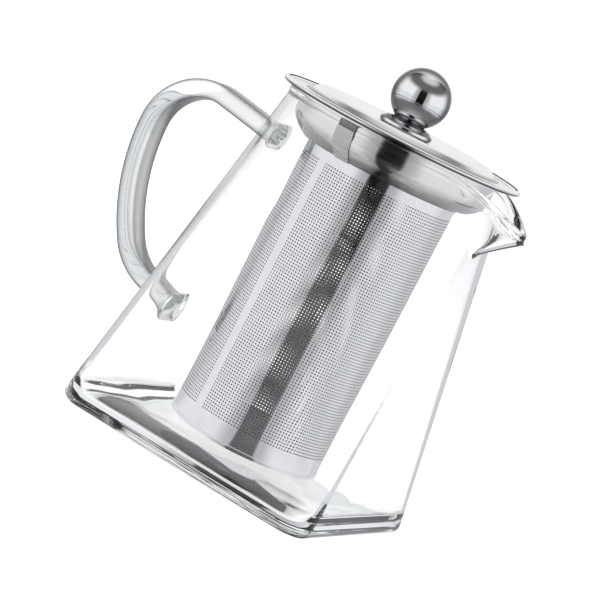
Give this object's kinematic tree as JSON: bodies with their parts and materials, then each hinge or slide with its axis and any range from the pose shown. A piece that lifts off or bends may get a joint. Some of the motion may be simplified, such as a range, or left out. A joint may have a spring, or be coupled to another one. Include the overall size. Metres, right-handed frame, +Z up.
{
  "type": "glass teapot",
  "caption": "Glass teapot with a square foot, round mouth, pinched pouring lip and loop handle, a lift-out perforated steel infuser and a pressed steel lid with a ball knob.",
  "frame": {"origin": "centre of the square foot, on the table", "axes": "+Z up along the pot's axis, +X towards the pouring lip, -X towards the handle"},
  "size_m": [0.138, 0.096, 0.1456],
  "materials": {
    "glass": "clear borosilicate glass, fire-polished",
    "steel_satin": "satin stainless steel",
    "steel_brushed": "brushed stainless steel",
    "steel_polished": "mirror-polished stainless steel"
  },
  "bodies": {
    "pot": {"glass_body": "glass", "handle": "glass"},
    "infuser": {"infuser_neck": "steel_satin", "spring_band": "steel_brushed", "mesh_tube": "steel_brushed", "infuser_bottom": "steel_satin"},
    "lid": {"lid_shell": "steel_brushed", "lid_ring": "steel_satin", "knob_base": "steel_polished", "knob_ball": "steel_polished", "knob_screw": "steel_satin"}
  },
  "joints": [
    {"name": "infuser_lift", "type": "slide", "parent": "pot", "child": "infuser", "axis": [0, 0, 1], "range_m": [0, 0.125]},
    {"name": "lid_lift", "type": "slide", "parent": "infuser", "child": "lid", "axis": [0, 0, 1], "range_m": [0, 0.04]}
  ]
}
